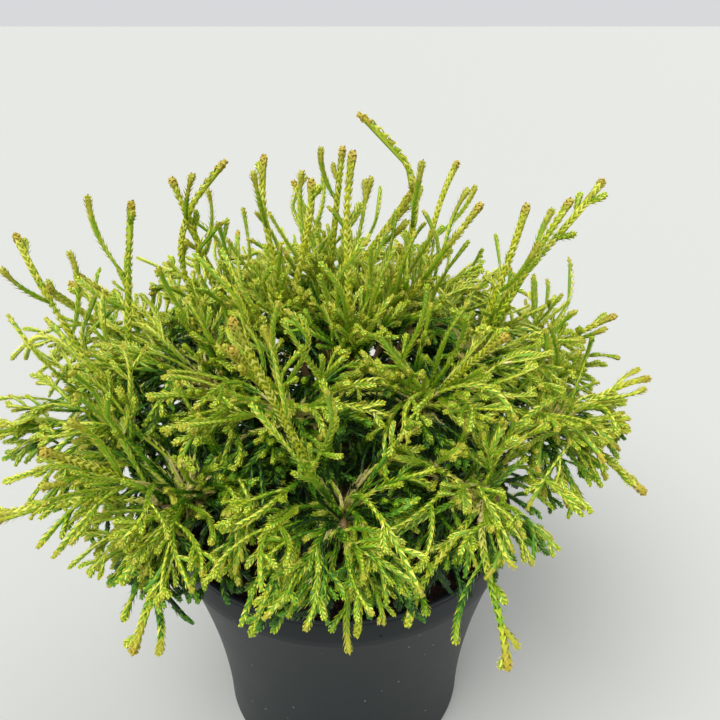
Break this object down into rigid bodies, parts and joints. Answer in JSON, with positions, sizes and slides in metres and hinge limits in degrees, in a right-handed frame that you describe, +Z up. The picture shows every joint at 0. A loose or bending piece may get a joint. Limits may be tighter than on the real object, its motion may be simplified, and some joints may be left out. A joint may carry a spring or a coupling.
{
  "type": "potted dwarf hinoki cypress",
  "caption": "Low, spreading conifer bush of upright and arching whipcord shoots, growing in a round flared nursery pot.",
  "frame": {"origin": "centre of the pot's flat underside, where it stands on the table", "axes": "+Z up along the pot's axis, +X to the plant's right seen from its front, which looks along -Y"},
  "size_m": [0.2918, 0.2813, 0.3134],
  "materials": {
    "pot": "satin",
    "compost": "loose bark chips",
    "bark": "rough bark",
    "foliage": "satin leaves"
  },
  "bodies": {
    "root": {"pot": "pot", "compost": "compost", "stem": "bark", "bough_low_right": "bark", "foliage_low_right": "foliage", "bough_low_right_back": "bark", "foliage_low_right_back": "foliage", "bough_low_back_right": "bark", "foliage_low_back_right": "foliage", "bough_low_back": "bark", "foliage_low_back": "foliage", "bough_low_back_left": "bark", "foliage_low_back_left": "foliage", "bough_low_left_back": "bark", "foliage_low_left_back": "foliage", "bough_low_left": "bark", "foliage_low_left": "foliage", "bough_low_left_front": "bark", "foliage_low_left_front": "foliage", "bough_low_front": "bark", "foliage_low_front": "foliage", "bough_low_right_front": "bark", "foliage_low_right_front": "foliage", "bough_mid_left": "bark", "foliage_mid_left": "foliage", "bough_mid_front_left": "bark", "foliage_mid_front_left": "foliage", "bough_mid_front_right": "bark", "foliage_mid_front_right": "foliage", "bough_mid_right": "bark", "foliage_mid_right": "foliage", "bough_mid_back_right": "bark", "foliage_mid_back_right": "foliage", "bough_mid_back": "bark", "foliage_mid_back": "foliage", "bough_mid_left_back": "bark", "foliage_mid_left_back": "foliage", "bough_top_front": "bark", "foliage_top_front": "foliage", "bough_top_right": "bark", "foliage_top_right": "foliage", "bough_top_back": "bark", "foliage_top_back": "foliage", "bough_top_left": "bark", "foliage_top_left": "foliage"}
  },
  "joints": []
}
